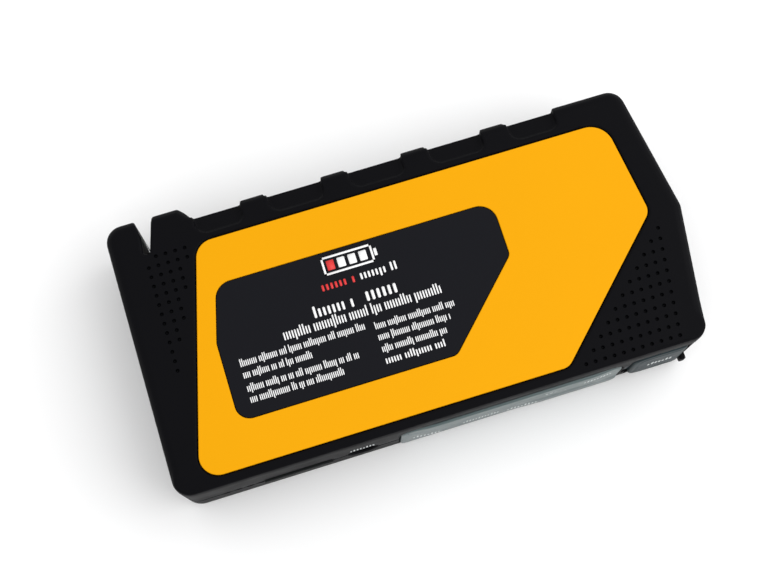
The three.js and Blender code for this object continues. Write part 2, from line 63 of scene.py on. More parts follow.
HALF_LENGTH = 94.0
HEIGHT = 36.0
PORT_WALL_Y = -45.35
BLOCK_LINE_Y = 44.6
SCOOP_LINE_Y = 43.75
CUTTER_TOP_Y = 48.0
WALL = 2.15
GAP = 0.3
PART_Z = 15.5
PART_GAP = 0.3
FLOOR_TOP_Z = 3.3
CEILING_Z = 32.5
PLATE_SEAT_Z = 34.5
FRONT_PLATE_SEAT_Z = 1.3
DEEP_WALL_Y = -41.2
SIDE_GROWTH = 0.3
BLADE_SLOT_HALF_HEIGHT = 0.6

# The facets round the back and front faces. The port wall has a narrower one, and it leans outwards;
# both changes come in over a span of distances from the middle of the pack.
FACET_WIDTH, PORT_FACET_WIDTH, FACET_HEIGHT = 2.1, 0.4, 1.9
EDGE_RADIUS, PORT_EDGE_LOSS, FLOOR_EDGE_RADIUS = 0.7, 0.45, 0.5
LEAN, LEAN_START_Z, LEAN_RISE = 0.8, 3, 31
LEAN_SPAN = (33, 40)
PORT_SPAN = (36, 43)

GRIP_PITCH = 28.4
GRIP_BLOCK_WIDTH = 8.3
FIRST_BLOCK_X = -47.4
CORNER_BLOCK_X = 63.9
SCOOP_START_X = -64.9
SCOOP_INNER_Y = 36.7
FIRST_SCOOP_SLOPE, SCOOP_SLOPE = 3.7, 1.1
SCOOP_DROP, SCOOP_DROP_GAIN = 0.8, 2.2
BEYOND_Y = 60

USB_COUNT = 4
USB_PITCH = 18.6
USB_CENTRE_X = 20.25
USB_HALF_SIZE = (7.1, 3.9)
USB_PLUG_HALF_SIZE = (5.4, 1.9)
LED_COUNT = 4
LED_PITCH = 4.0
FIRST_LED_X = -79.5
LED_HOLE_RADIUS = 1.25
LED_RADIUS = 0.95
BUTTON_X = -54.5
BUTTON_HALF_SIZE = (12.1, 2.6)
BUTTON_HOLE_HALF_SIZE = (12.4, 2.9)
BUTTON_OUTER_Y = -46.75
JACK_X = -32.0
JACK_HOLE_RADIUS = 5.4
SOCKET_X = 72.8
SOCKET_HALF_SIZE = (6.8, 10.3)
SOCKET_DEPTH_Y = -40
RECESS_Y = -42
LAMP_X, LAMP_Y, LAMP_RADIUS = 90.68, 22.0, 6.5
LAMP_ANGLE = math.radians(8.26)

FLAP_OUTER_Y, FLAP_INNER_Y, FLAP_SEAT_Y = -46.1, -43.5, -43.2
FLAP_LEAN, FLAP_LEAN_RISE = 0.45, 24
WAVE_HEIGHT, WAVE_MIDDLE_Z, WAVE_SWING = 0.55, 15.0, 7.0
FLAP_SWELL = 0.35
CAP_OUTER_Y, CAP_INNER_Y, CAP_SEAT_Y = -46.6, -44.2, -43.9
CAP_LIP = 0.25
TETHER_SEAT_Y, HINGE_SEAT_Y = -44, -44.3

SCREW_BOSS_RADIUS, SCREW_HOLE_RADIUS, SCREW_HEAD_RADIUS = 3.8, 1.6, 3
SCREW_HOLE_START_Z, SCREW_HEAD_START_Z = 5.5, 32.3
SCREWS = [(-78.5, -32.5), (-41.2, -34.5), (-62, 28.8), (16, -5.5), (73.5, 28.5), (72.5, -3.5)]

# Outline corners as (x, y, corner radius), counterclockwise.
CASING_CORNERS = [
    (-HALF_LENGTH, PORT_WALL_Y, 6),
    (86.9, PORT_WALL_Y, 5.5),
    (HALF_LENGTH, -0.85, 3),
    (87.4, BLOCK_LINE_Y, 5.5),
    (-65.1, BLOCK_LINE_Y, 1.2),
    (-68.5, CUTTER_TOP_Y, 0.8),
    (-HALF_LENGTH, CUTTER_TOP_Y, 5.5),
]
CAVITY_CORNERS = [
    (-HALF_LENGTH + WALL, PORT_WALL_Y + WALL, 3),
    (-21.5, PORT_WALL_Y + WALL, 0),
    (-21.5, DEEP_WALL_Y, 0),
    (85.2, DEEP_WALL_Y, 3),
    (91.7, -0.85, 1),
    (85.5, SCOOP_LINE_Y - WALL, 3),
    (-63, SCOOP_LINE_Y - WALL, 2),
    (-72, 30, 2),
    (-HALF_LENGTH + WALL, 28, 2),
]
INLAY_CORNERS = [
    (-85.7, -42.65, 6.4), (39.8, -42.65, 5), (82.8, -0.35, 5), (78.6, 34.2, 8), (-65.4, 34.2, 6.6),
]
LABEL_CORNERS = [
    (-67.9, -27.75, 4.8), (6.05, -27.75, 3.5), (33.1, -0.65, 3),
    (33.1, 18.35, 6), (-62.9, 18.35, 6), (-67.9, -0.85, 3),
]
NOTCH_CORNERS = [
    (-83.2, 35.6, 0.9), (-81.0, 35.6, 0.8), (-77.4, CUTTER_TOP_Y, 0), (-76.3, 52, 0),
    (-83.9, 52, 0), (-83.3, 47, 1), (-82.5, 42, 2),
]
BLADE_CORNERS = [
    (-88.6, 33.2, 0.6), (-81.2, 33.2, 0.3), (-80.9, 35, 0), (-83.2, 46.6, 0), (-89.8, 45.2, 0.6),
]
BLADE_PINS = [(-86.8, 36.6), (-87.6, 43)]

# Outlines on the port wall, as (x, z, corner radius).
FLAP_CORNERS = [(-18.7, 2.8, 2.2), (59.2, 2.8, 3.2), (59.2, 26.8, 6), (-18.7, 26.8, 5)]
FLAP_RECESS_CORNERS = [(-19, 2.5, 2.4), (59.5, 2.5, 3.4), (59.5, 27.1, 6.2), (-19, 27.1, 5.2)]
CAP_CORNERS = [(63.5, 3.5, 4.5), (82, 3.5, 2), (82, 27, 2), (63.5, 27, 4.5)]

# Dimples: the right field is a triangle; the left field's rows run from one column to another.
RIGHT_DIMPLES_X, RIGHT_DIMPLES_Y, RIGHT_DIMPLE_ROWS = 77.96, -43.45, 11
RIGHT_DIMPLE_PITCH, RIGHT_DIMPLE_ROW, RIGHT_DIMPLE_SHIFT = 3.26, 3.67, 0.566
LEFT_DIMPLES_X, LEFT_DIMPLES_Y = -69.4, 33.85
LEFT_DIMPLE_PITCH, LEFT_DIMPLE_ROW = 3.31, 3.3
LEFT_DIMPLE_SPANS = [(0, 4), (0, 5)] + 3 * [(1, 5)] + 3 * [(2, 5)] + 2 * [(3, 5)] + 3 * [(4, 5)]

# Mesh fineness.
CASING_CELL = 0.5
RUBBER_CELL = 0.28

# Faces of one flat area: the least cosine between their normals, and their spread in metres.
SAME_DIRECTION = 1 - 1e-6
SAME_LEVEL = 2e-6

# Camera and light; the camera's place is in metres.
CAMERA_TILT = math.radians(14.212)
CAMERA_AZIMUTH = math.radians(17.349)
CAMERA_PLACE = (-0.0430, -0.1118, 0.4983)
CAMERA_LENS = 66.42
WORLD_STRENGTH = 1.09
OVERHEAD_POWER = 8.6


# ---------------------------------------------------------------- outlines

def unit(vector):
    return vector / np.linalg.norm(vector)


def cross2(a, b):
    return a[0] * b[1] - a[1] * b[0]


def rounded(corners, steps=8):
    """Outline points of a polygon whose corners (x, y, radius) are rounded."""
    points = []
    for index, (x, y, radius) in enumerate(corners):
        corner = np.array((x, y), float)
        if not radius:
            points.append(corner)
            continue
        before = np.array(corners[index - 1][:2], float)
        after = np.array(corners[(index + 1) % len(corners)][:2], float)
        to_before, to_after = unit(before - corner), unit(after - corner)
        half_angle = math.acos(float(to_before @ to_after)) / 2
        centre = corner + unit(to_before + to_after) * radius / math.sin(half_angle)
        start = corner + to_before * radius / math.tan(half_angle) - centre
        turn = (math.pi - 2 * half_angle) * np.sign(cross2(to_after, to_before))
        for step in range(steps + 1):
            angle = turn * step / steps
            cosine, sine = math.cos(angle), math.sin(angle)
            turned = (cosine * start[0] - sine * start[1], sine * start[0] + cosine * start[1])
            points.append(centre + turned)
    return np.array(points)


def inset(corners, distance):
    """The same corners moved inwards, with their radii kept concentric."""
    moved = []
    for index, (x, y, radius) in enumerate(corners):
        before, after = corners[index - 1], corners[(index + 1) % len(corners)]
        along = unit(np.array((x - before[0], y - before[1]), float))
        onward = unit(np.array((after[0] - x, after[1] - y), float))
        turn = cross2(along, onward)
        slide = distance * (1 - float(along @ onward)) / turn
        place = np.array((x, y)) + distance * np.array((-along[1], along[0])) - along * slide
        grown = max(radius - distance * np.sign(turn), 0.02) if radius else 0
        moved.append((place[0], place[1], grown))
    return moved


def rectangle(left, bottom, right, top, radius=0.0):
    return [(left, bottom, radius), (right, bottom, radius), (right, top, radius), (left, top, radius)]


def centred(x, y, half_size, radius=0.0):
    """A rectangle about a centre."""
    half_width, half_height = half_size
    return rectangle(x - half_width, y - half_height, x + half_width, y + half_height, radius)


def usb_centre(index):
    return USB_CENTRE_X + USB_PITCH * (index - (USB_COUNT - 1) / 2)


# ---------------------------------------------------------------- fields (negative inside)

def outline_field(points, u, v):
    """Signed distance from (u, v) to a closed outline."""
    shape = np.broadcast(u, v).shape
    nearest = np.full(shape, np.inf)
    inside = np.zeros(shape, bool)
    for (ax, ay), (bx, by) in zip(points, np.roll(points, -1, axis=0)):
        dx, dy = bx - ax, by - ay
        share = np.clip(((u - ax) * dx + (v - ay) * dy) / (dx * dx + dy * dy), 0, 1)
        nearest = np.minimum(nearest, (u - ax - share * dx) ** 2 + (v - ay - share * dy) ** 2)
        if dy:
            crosses = (ay <= v) != (by <= v)
            inside ^= crosses & (u < ax + (v - ay) * dx / dy)
    distance = np.sqrt(nearest)
    return np.where(inside, -distance, distance)


def corner_field(corners, u, v):
    return outline_field(rounded(corners), u, v)


def circle_field(u, v, centre_u, centre_v, radius):
    return np.hypot(u - centre_u, v - centre_v) - radius


def both(a, b, radius=0.0):
    """Where both solids are, with the edge between them rounded."""
    if np.isscalar(radius) and not radius:
        return np.maximum(a, b)
    rim = np.hypot(np.maximum(a + radius, 0), np.maximum(b + radius, 0))
    return np.minimum(np.maximum(a, b), -radius) + rim


def either(a, b, radius=0.0):
    """Either solid, with a fillet in the corner between them."""
    return -both(-a, -b, radius)


def without(a, b, radius=0.0):
    """The first solid less the second, with a rounded rim."""
    return both(a, -b, radius)


# ---------------------------------------------------------------- meshes

def grid(low, high, cell):
    """Three broadcastable coordinate arrays through a box."""
    axes = [np.arange(a, b + cell, cell) for a, b in zip(low, high)]
    x, y, z = axes
    return x[:, None, None], y[None, :, None], z[None, None, :]


def surface(field, axes):
    """Vertices and quads of the surface where the field is zero, one vertex to a cell."""
    field = np.asarray(field, float)
    lines = [np.ravel(axis) for axis in axes]
    within = field < 0
    size = [n - 1 for n in field.shape]
    offsets = [(i, j, k) for i in (0, 1) for j in (0, 1) for k in (0, 1)]
    filled = sum(
        within[i:size[0] + i, j:size[1] + j, k:size[2] + k].astype(np.int8) for i, j, k in offsets
    )
    mixed = (filled > 0) & (filled < 8)
    cells = np.argwhere(mixed)
    number = np.full(mixed.shape, -1, np.int64)
    number[mixed] = np.arange(len(cells))
    total, hits = np.zeros((len(cells), 3)), np.zeros(len(cells))
    for axis in range(3):
        step = np.eye(3, dtype=int)[axis]
        for offset in offsets:
            if offset[axis]:
                continue
            start = cells + offset
            end = start + step
            from_value, to_value = field[tuple(start.T)], field[tuple(end.T)]
            hit = (from_value < 0) != (to_value < 0)
            start, end = start[hit], end[hit]
            share = from_value[hit] / (from_value[hit] - to_value[hit])
            place = np.stack([line[start[:, n]] for n, line in enumerate(lines)], axis=1)
            reach = lines[axis][end[:, axis]] - lines[axis][start[:, axis]]
            place[:, axis] += share * reach
            total[hit] += place
            hits[hit] += 1
    quads = []
    for axis in range(3):
        b, c = (axis + 1) % 3, (axis + 2) % 3
        low = np.moveaxis(within, axis, 0)[:-1]
        high = np.moveaxis(within, axis, 0)[1:]
        start = np.argwhere(np.moveaxis(low != high, 0, axis))
        start = start[(start[:, b] > 0) & (start[:, c] > 0)]
        start = start[(start[:, b] < size[b]) & (start[:, c] < size[c])]
        ring = []
        for step_b, step_c in ((-1, -1), (0, -1), (0, 0), (-1, 0)):
            cell = start.copy()
            cell[:, b] += step_b
            cell[:, c] += step_c
            ring.append(number[tuple(cell.T)])
        ring = np.stack(ring, axis=1)
        turned = ~within[tuple(start.T)]
        ring[turned] = ring[turned, ::-1]
        quads.append(ring)
    return total / hits[:, None], np.concatenate(quads)


def new_piece(name, vertices, faces, material, body, nodes=()):
    """A smooth-shaded mesh piece, given in millimetres, on its body."""
    mesh = bpy.data.meshes.new(name)
    mesh.from_pydata(np.asarray(vertices, float) * MM, [], faces)
    mesh.update()
    mesh.shade_smooth()
    mesh.materials.append(material)
    piece = bpy.data.objects.new(name, mesh)
    bpy.context.scene.collection.objects.link(piece)
    if body:
        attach(piece, body)
    if nodes:
        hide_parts(*nodes)
    return piece


def flat_areas(mesh_data, least=3000):
    """Groups of touching faces that lie in one plane, with the plane's normal."""
    areas, seen = [], set()
    for seed in mesh_data.faces:
        if seed.index in seen:
            continue
        seen.add(seed.index)
        normal = seed.normal.copy()
        level = normal.dot(seed.verts[0].co)
        area, waiting = [seed], [seed]
        while waiting:
            for edge in waiting.pop().edges:
                for face in edge.link_faces:
                    if face.index in seen or face.normal.dot(normal) < SAME_DIRECTION:
                        continue
                    if any(abs(vertex.co.dot(normal) - level) > SAME_LEVEL for vertex in face.verts):
                        continue
                    seen.add(face.index)
                    area.append(face)
                    waiting.append(face)
        if len(area) >= least:
            areas.append((area, normal))
    return areas


def add_pit(mesh_data, x, y, level, radius=0.66, depth=1.0, sides=16):
    """Makes one small round pit below a level, and returns the edges of its rim."""
    profile = [(1.0, 0.0), (0.97, -0.35), (0.86, -0.7), (0.55, -0.95)]
    turns = [2 * math.pi * step / sides for step in range(sides)]
    rings = [
        [
            mesh_data.verts.new((
                (x + radius * share * math.cos(turn)) * MM,
                (y + radius * share * math.sin(turn)) * MM,
                (level + depth * drop) * MM,
            ))
            for turn in turns
        ]
        for share, drop in profile
    ]
    for upper, lower in zip(rings, rings[1:]):
        for step in range(sides):
            after = (step + 1) % sides
            mesh_data.faces.new((upper[step], lower[step], lower[after], upper[after]))
    mesh_data.faces.new(rings[-1])
    rim = [mesh_data.edges.get((a, b)) for a, b in zip(rings[0], rings[0][1:] + rings[0][:1])]
    for edge in rim:
        edge.smooth = False
    return rim


def merge_flats(piece, degrees=0.4, pits=()):
    """Fills each large flat area again with few faces, with any pits in it, and joins the rest."""
    mesh_data = bmesh.new()
    mesh_data.from_mesh(piece.data)
    mesh_data.normal_update()
    areas = flat_areas(mesh_data)
    rims = []
    for area, normal in areas:
        inside = set(area)
        rims.append([
            edge for face in area for edge in face.edges
            if sum(side in inside for side in edge.link_faces) == 1
        ])
    pitted = [
        normal.z > 0.999 and abs(area[0].verts[0].co.z - HEIGHT * MM) < 1e-5 for area, normal in areas
    ]
    kept = {edge for rim in rims for edge in rim}
    flat = [face for area, normal in areas for face in area]
    bmesh.ops.delete(mesh_data, geom=flat, context="FACES_ONLY")
    loose = [edge for edge in mesh_data.edges if edge.is_wire and edge not in kept]
    bmesh.ops.delete(mesh_data, geom=loose, context="EDGES")
    for (area, normal), rim, upper in zip(areas, rims, pitted):
        for x, y in pits if upper else ():
            rim += add_pit(mesh_data, x, y, HEIGHT)
        bmesh.ops.triangle_fill(mesh_data, use_beauty=False, edges=rim, normal=normal)
    gaps = [edge for edge in mesh_data.edges if edge.is_boundary]
    bmesh.ops.holes_fill(mesh_data, edges=gaps, sides=0)
    bmesh.ops.dissolve_limit(
        mesh_data, angle_limit=math.radians(degrees), verts=mesh_data.verts, edges=mesh_data.edges
    )
    bmesh.ops.triangulate(mesh_data, faces=[face for face in mesh_data.faces if len(face.verts) > 4])
    bmesh.ops.recalc_face_normals(mesh_data, faces=mesh_data.faces)
    for face in mesh_data.faces:
        face.smooth = True
    mesh_data.to_mesh(piece.data)
    mesh_data.free()
    return piece


def turn_faces_out(piece, smooth=True):
    """Makes every face of a closed piece point outwards, and shades it smooth or flat."""
    mesh_data = bmesh.new()
    mesh_data.from_mesh(piece.data)
    bmesh.ops.recalc_face_normals(mesh_data, faces=mesh_data.faces)
    for face in mesh_data.faces:
        face.smooth = smooth
    mesh_data.to_mesh(piece.data)
    mesh_data.free()
    return piece


def weigh_normals(piece):
    """Keeps large faces flat where they meet small rounded ones."""
    weighted = piece.modifiers.new("normals", "WEIGHTED_NORMAL")
    weighted.weight = 100
    weighted.keep_sharp = True
    return piece


def solid(name, field, low, high, cell, material, body, nodes=(), pits=()):
    """A piece made from a field over a box, with its flat regions joined and any pits in its top."""
    axes = grid(low, high, cell)
    vertices, faces = surface(np.broadcast_to(field(*axes), [np.size(a) for a in axes]), axes)
    piece = new_piece(name, vertices, faces.tolist(), material, body, nodes)
    return weigh_normals(merge_flats(piece, pits=pits))


class Sheets:
    """Collects outlines that are drawn as thin raised layers, and makes one mesh of them."""

    def __init__(self, low, high):
        self.low, self.high = low, high
        self.vertices, self.faces = [], []

    def add(self, outline, place=lambda u, v, height: (u, v, height)):
        first, count = len(self.vertices), len(outline)
        for height in (self.low, self.high):
            self.vertices += [place(u, v, height) for u, v in outline]
        for index in range(count):
            after = (index + 1) % count
            self.faces.append(
                (first + index, first + after, first + count + after, first + count + index)
            )
        self.faces.append(tuple(first + count + index for index in range(count)))
        self.faces.append(tuple(first + index for index in reversed(range(count))))

    def make(self, name, material, body, slot):
        return turn_faces_out(new_piece(name, self.vertices, self.faces, material, body))


def lathe(name, profile, centre, axis, material, body, nodes=(), sides=64):
    """A turned piece; the profile gives (radius, distance along the axis), as a closed loop."""
    axis = unit(np.array(axis, float))
    across = unit(np.cross(axis, (0, 0, 1)))
    rise = np.cross(axis, across)
    mesh_data = bmesh.new()
    rings = []
    for radius, along in profile:
        middle = np.array(centre, float) + axis * along
        angles = [2 * math.pi * step / sides for step in range(sides)] if radius else [0]
        rings.append([
            mesh_data.verts.new(
                (middle + radius * (across * math.cos(angle) + rise * math.sin(angle))) * MM
            )
            for angle in angles
        ])
    closed = profile[0][0] > 0
    for inner, outer in zip(rings, rings[1:] + (rings[:1] if closed else [])):
        for step in range(sides):
            after = (step + 1) % sides
            if len(inner) == 1:
                mesh_data.faces.new((inner[0], outer[step], outer[after]))
            elif len(outer) == 1:
                mesh_data.faces.new((inner[after], inner[step], outer[0]))
            else:
                mesh_data.faces.new((inner[step], inner[after], outer[after], outer[step]))
    bmesh.ops.recalc_face_normals(mesh_data, faces=mesh_data.faces)
    piece = new_piece(name, [], [], material, body, nodes)
    mesh_data.to_mesh(piece.data)
    mesh_data.free()
    piece.data.shade_smooth()
    piece.data.set_sharp_from_angle(angle=math.radians(32))
    return piece


def plate(name, corners, low, high, rim, material, node, window=None):
    """A flat plate with a small rounded rim, and with an optional window through it."""
    mesh_data = bmesh.new()
    levels = [(low, rim), (low + rim, 0)] + [
        (high - rim + rim * math.sin(turn), rim - rim * math.cos(turn))
        for turn in (0, math.pi / 8, math.pi / 4, 3 * math.pi / 8, math.pi / 2)
    ]
    contours = [(corners, 1)] + ([(window, -1)] if window else [])
    ends = {0: [], len(levels) - 1: []}
    for shape, side in contours:
        rings = []
        for z, step in levels:
            outline = rounded(inset(shape, side * step), 12)
            rings.append([mesh_data.verts.new((x, y, z)) for x, y in outline])
        for below, above in zip(rings, rings[1:]):
            for index in range(len(below)):
                after = (index + 1) % len(below)
                ring = [below[index], below[after], above[after], above[index]]
                mesh_data.faces.new(ring if side > 0 else ring[::-1])
        for end in ends:
            ends[end].append(rings[end])
    for rings in ends.values():
        edges = []
        for ring in rings:
            edges += [mesh_data.edges.get((a, b)) for a, b in zip(ring, ring[1:] + ring[:1])]
        bmesh.ops.triangle_fill(mesh_data, use_beauty=True, edges=edges)
    bmesh.ops.recalc_face_normals(mesh_data, faces=mesh_data.faces)
    bmesh.ops.dissolve_limit(
        mesh_data, angle_limit=math.radians(0.5), verts=mesh_data.verts, edges=mesh_data.edges
    )
    piece = new_piece(name, [], [], material, "casing", [node])
    bmesh.ops.scale(mesh_data, vec=(MM, MM, MM), verts=mesh_data.verts)
    for face in mesh_data.faces:
        face.smooth = True
    mesh_data.to_mesh(piece.data)
    mesh_data.free()
    return weigh_normals(piece)


# ---------------------------------------------------------------- materials

def surface_material(
    name, colour, roughness, level=0.5, metallic=0.0, spread=0.08, patch=12.0,
    grain=0.3, grain_depth=0.01, stretch=(1, 1, 1), transmission=0.0, gloss_spread=0.05,
    pores=None,
):
    """Procedural finish: colour and gloss drift over patches, and a fine grain (all in millimetres)."""
    made = bpy.data.materials.new(name)
    made.use_nodes = True
    nodes, links = made.node_tree.nodes, made.node_tree.links
    shader = nodes["Principled BSDF"]
    shader.inputs["Metallic"].default_value = metallic
    shader.inputs["Specular IOR Level"].default_value = level
    shader.inputs["Transmission Weight"].default_value = transmission
    place = nodes.new("ShaderNodeTexCoord")
    stretched = nodes.new("ShaderNodeMapping")
    stretched.inputs["Scale"].default_value = stretch
    links.new(place.outputs["Object"], stretched.inputs["Vector"])

    def noise(size, detail):
        node = nodes.new("ShaderNodeTexNoise")
        node.inputs["Scale"].default_value = 1 / (size * MM)
        node.inputs["Detail"].default_value = detail
        links.new(stretched.outputs["Vector"], node.inputs["Vector"])
        return node.outputs["Fac"]

    drift, grit = noise(patch, 3), noise(grain, 2)
    blend = nodes.new("ShaderNodeMix")
    blend.data_type = "RGBA"
    colours = [socket for socket in blend.inputs if socket.type == "RGBA"]
    colours[0].default_value = [max(c * (1 - spread), 0) for c in colour] + [1]
    colours[1].default_value = [min(c * (1 + spread), 1) for c in colour] + [1]
    links.new(drift, blend.inputs[0])
    mixed = next(socket for socket in blend.outputs if socket.type == "RGBA")
    links.new(mixed, shader.inputs["Base Color"])
    gloss = nodes.new("ShaderNodeMapRange")
    gloss.inputs["From Min"].default_value = 0.3
    gloss.inputs["From Max"].default_value = 0.7
    gloss.inputs["To Min"].default_value = roughness - gloss_spread
    gloss.inputs["To Max"].default_value = roughness + gloss_spread
    links.new(drift, gloss.inputs["Value"])
    links.new(gloss.outputs["Result"], shader.inputs["Roughness"])
    bump = nodes.new("ShaderNodeBump")
    bump.inputs["Strength"].default_value = 1.0
    bump.inputs["Distance"].default_value = grain_depth * MM
    height = grit
    if pores:
        cells = nodes.new("ShaderNodeTexVoronoi")
        cells.inputs["Scale"].default_value = 1 / (pores * MM)
        links.new(stretched.outputs["Vector"], cells.inputs["Vector"])
        added = nodes.new("ShaderNodeMath")
        added.operation = "ADD"
        links.new(grit, added.inputs[0])
        links.new(cells.outputs["Distance"], added.inputs[1])
        height = added.outputs["Value"]
    links.new(height, bump.inputs["Height"])
    links.new(bump.outputs["Normal"], shader.inputs["Normal"])
    return made


MATERIALS = {
    "casing": surface_material(
        "soft_touch_black", (0.0020, 0.0020, 0.0029), 0.52, level=0.05, spread=0.12,
        grain=0.22, grain_depth=0.006, pores=0.35,
    ),
    "inlay": surface_material(
        "satin_orange", (0.705, 0.312, 0.0010), 0.45, level=0.05, spread=0.015, patch=30,
        grain=0.5, grain_depth=0.002,
    ),
    "label": surface_material(
        "fine_black", (0.0058, 0.0060, 0.0082), 0.5, level=0.06, spread=0.06, patch=25,
        grain=0.15, grain_depth=0.003,
    ),
    "print_white": surface_material(
        "white_ink", (0.82, 0.82, 0.82), 0.5, spread=0.03, patch=1.5, grain=0.2, grain_depth=0.002,
    ),
    "mark_grey": surface_material(
        "grey_ink", (0.55, 0.58, 0.58), 0.5, spread=0.05, patch=1.5, grain=0.2, grain_depth=0.002,
    ),
    "print_red": surface_material(
        "red_ink", (0.62, 0.02, 0.02), 0.5, spread=0.06, patch=1.5, grain=0.2, grain_depth=0.002,
    ),
    "flap_rubber": surface_material(
        "ribbed_rubber", (0.026, 0.056, 0.058), 0.35, level=0.85, spread=0.15, patch=5,
        grain=0.25, grain_depth=0.006, pores=0.4,
    ),
    "rubber": surface_material(
        "black_rubber", (0.008, 0.019, 0.023), 0.5, level=0.2, spread=0.15, patch=5,
        grain=0.25, grain_depth=0.008, pores=0.4,
    ),
    "blade_steel": surface_material(
        "ground_steel", (0.72, 0.73, 0.74), 0.24, metallic=1, spread=0.05, patch=3,
        grain=0.12, grain_depth=0.004, stretch=(1, 0.05, 1),
    ),
    "screw_steel": surface_material(
        "plated_steel", (0.5, 0.5, 0.52), 0.3, metallic=1, spread=0.1, patch=2, grain_depth=0.004,
    ),
    "contact_brass": surface_material(
        "gold_flashed_brass", (0.83, 0.6, 0.22), 0.22, metallic=1, spread=0.06, patch=3,
        grain_depth=0.003,
    ),
    "nickel": surface_material(
        "nickel_plate", (0.72, 0.71, 0.68), 0.2, metallic=1, spread=0.05, patch=3,
        grain=0.15, grain_depth=0.003, stretch=(1, 0.1, 1),
    ),
    "socket_blue": surface_material(
        "blue_nylon", (0.015, 0.07, 0.36), 0.4, spread=0.08, patch=6, grain_depth=0.006, pores=0.5,
    ),
    "dark_plastic": surface_material(
        "moulded_black", (0.012, 0.012, 0.014), 0.35, spread=0.15, patch=6, grain_depth=0.005,
    ),
    "white_plastic": surface_material(
        "moulded_white", (0.76, 0.76, 0.73), 0.4, spread=0.04, patch=4, grain_depth=0.004,
    ),
    "clear_lens": surface_material(
        "clear_plastic", (0.9, 0.93, 0.95), 0.12, spread=0.02, patch=4, grain=0.4,
        grain_depth=0.001, transmission=0.9, gloss_spread=0.02,
    ),
    "smoked_lens": surface_material(
        "smoked_plastic", (0.002, 0.002, 0.002), 0.5, level=0.02, spread=0.03, patch=4, grain=0.4,
        grain_depth=0.001,
    ),
    "button_rubber": surface_material(
        "satin_rubber", (0.006, 0.007, 0.007), 0.5, level=0.06, spread=0.15, patch=5,
        grain=0.25, grain_depth=0.006, pores=0.4,
    ),
    "reflector": surface_material(
        "metallised_cup", (0.84, 0.84, 0.86), 0.12, metallic=1, spread=0.03, patch=3,
        grain_depth=0.002,
    ),
    "board_green": surface_material(
        "solder_mask", (0.012, 0.09, 0.035), 0.32, spread=0.2, patch=2.5, grain=0.6,
        grain_depth=0.01,
    ),
    "cell_foil": surface_material(
        "laminated_foil", (0.58, 0.6, 0.62), 0.34, metallic=1, spread=0.06, patch=7, grain=1.2,
        grain_depth=0.03,
    ),
    "foam": surface_material(
        "closed_cell_foam", (0.03, 0.03, 0.032), 0.85, level=0.2, spread=0.2, patch=3,
        grain=0.4, grain_depth=0.05, pores=0.8,
    ),
    "wire_red": surface_material(
        "red_silicone", (0.4, 0.012, 0.012), 0.45, spread=0.08, patch=4, grain_depth=0.005,
    ),
    "wire_black": surface_material(
        "black_silicone", (0.012, 0.012, 0.012), 0.45, spread=0.12, patch=4, grain_depth=0.005,
    ),
}


# ---------------------------------------------------------------- casing

def fade(value, start, end):
    """0 before start, 1 after end, and smooth between."""
    share = np.clip((value - start) / (end - start), 0, 1)
    return share * share * (3 - 2 * share)


def scoop_spans():
    """The x ranges between the grip blocks."""
    spans, left, block = [], SCOOP_START_X, FIRST_BLOCK_X
    while block < CORNER_BLOCK_X - 1:
        spans.append((left, block))
        left = block + GRIP_BLOCK_WIDTH
        block += GRIP_PITCH
    return spans + [(left, CORNER_BLOCK_X)]


def box_field(value, low, high):
    """A slab between two planes along one coordinate."""
    return np.maximum(low - value, value - high)


def lean_share(z):
    """The part of its lean that the port wall has reached at a height."""
    return np.clip((z - LEAN_START_Z) / LEAN_RISE, 0, 1)


def wall_y(z):
    """Where the casing's leaning port wall stands at a height."""
    return PORT_WALL_Y - SIDE_GROWTH - LEAN * float(lean_share(z))


def outer_field(x, y, z):
    """The closed casing block with its facets and finger scoops."""
    lean = LEAN * fade(-y, *LEAN_SPAN) * lean_share(z)
    near_wall = fade(-y, *PORT_SPAN)
    side = corner_field(CASING_CORNERS, x, y + lean) - SIDE_GROWTH
    width = FACET_WIDTH + (PORT_FACET_WIDTH - FACET_WIDTH) * near_wall
    scale = 1 / np.hypot(1 / width, 1 / FACET_HEIGHT)
    top = (side / width + (z - HEIGHT) / FACET_HEIGHT + 1) * scale
    base = (side / FACET_WIDTH - z / FACET_HEIGHT + 1) * scale
    edge = EDGE_RADIUS - PORT_EDGE_LOSS * near_wall
    body = both(both(side, top, edge), z - HEIGHT, edge)
    body = both(both(body, base, EDGE_RADIUS), -z, FLOOR_EDGE_RADIUS)
    for left, right in scoop_spans():
        slope = FIRST_SCOOP_SLOPE if left == SCOOP_START_X else SCOOP_SLOPE
        wall_cut = corner_field(
            [(left, SCOOP_LINE_Y, 0), (right - 0.2, SCOOP_LINE_Y, 0),
             (right + 0.4, 50, 0), (left - slope, 50, 0)], x, y,
        )
        body = without(body, wall_cut, 0.3)
        hollow = corner_field(
            [(left + 0.8, SCOOP_INNER_Y, 4), (right - 0.4, SCOOP_INNER_Y, 3),
             (right - 0.4, BEYOND_Y, 0), (left + 0.8, BEYOND_Y, 0)], x, y,
        )
        drop = SCOOP_DROP + SCOOP_DROP_GAIN * (y - SCOOP_INNER_Y) / (SCOOP_LINE_Y - SCOOP_INNER_Y)
        for rise in (HEIGHT - z, z):
            body = without(body, both(hollow, rise - drop, 0.8), 0.4)
    return body


def wall_hole(shape, y, inner):
    """A cut into the port wall, as deep as inner."""
    return np.maximum(shape, y - inner)


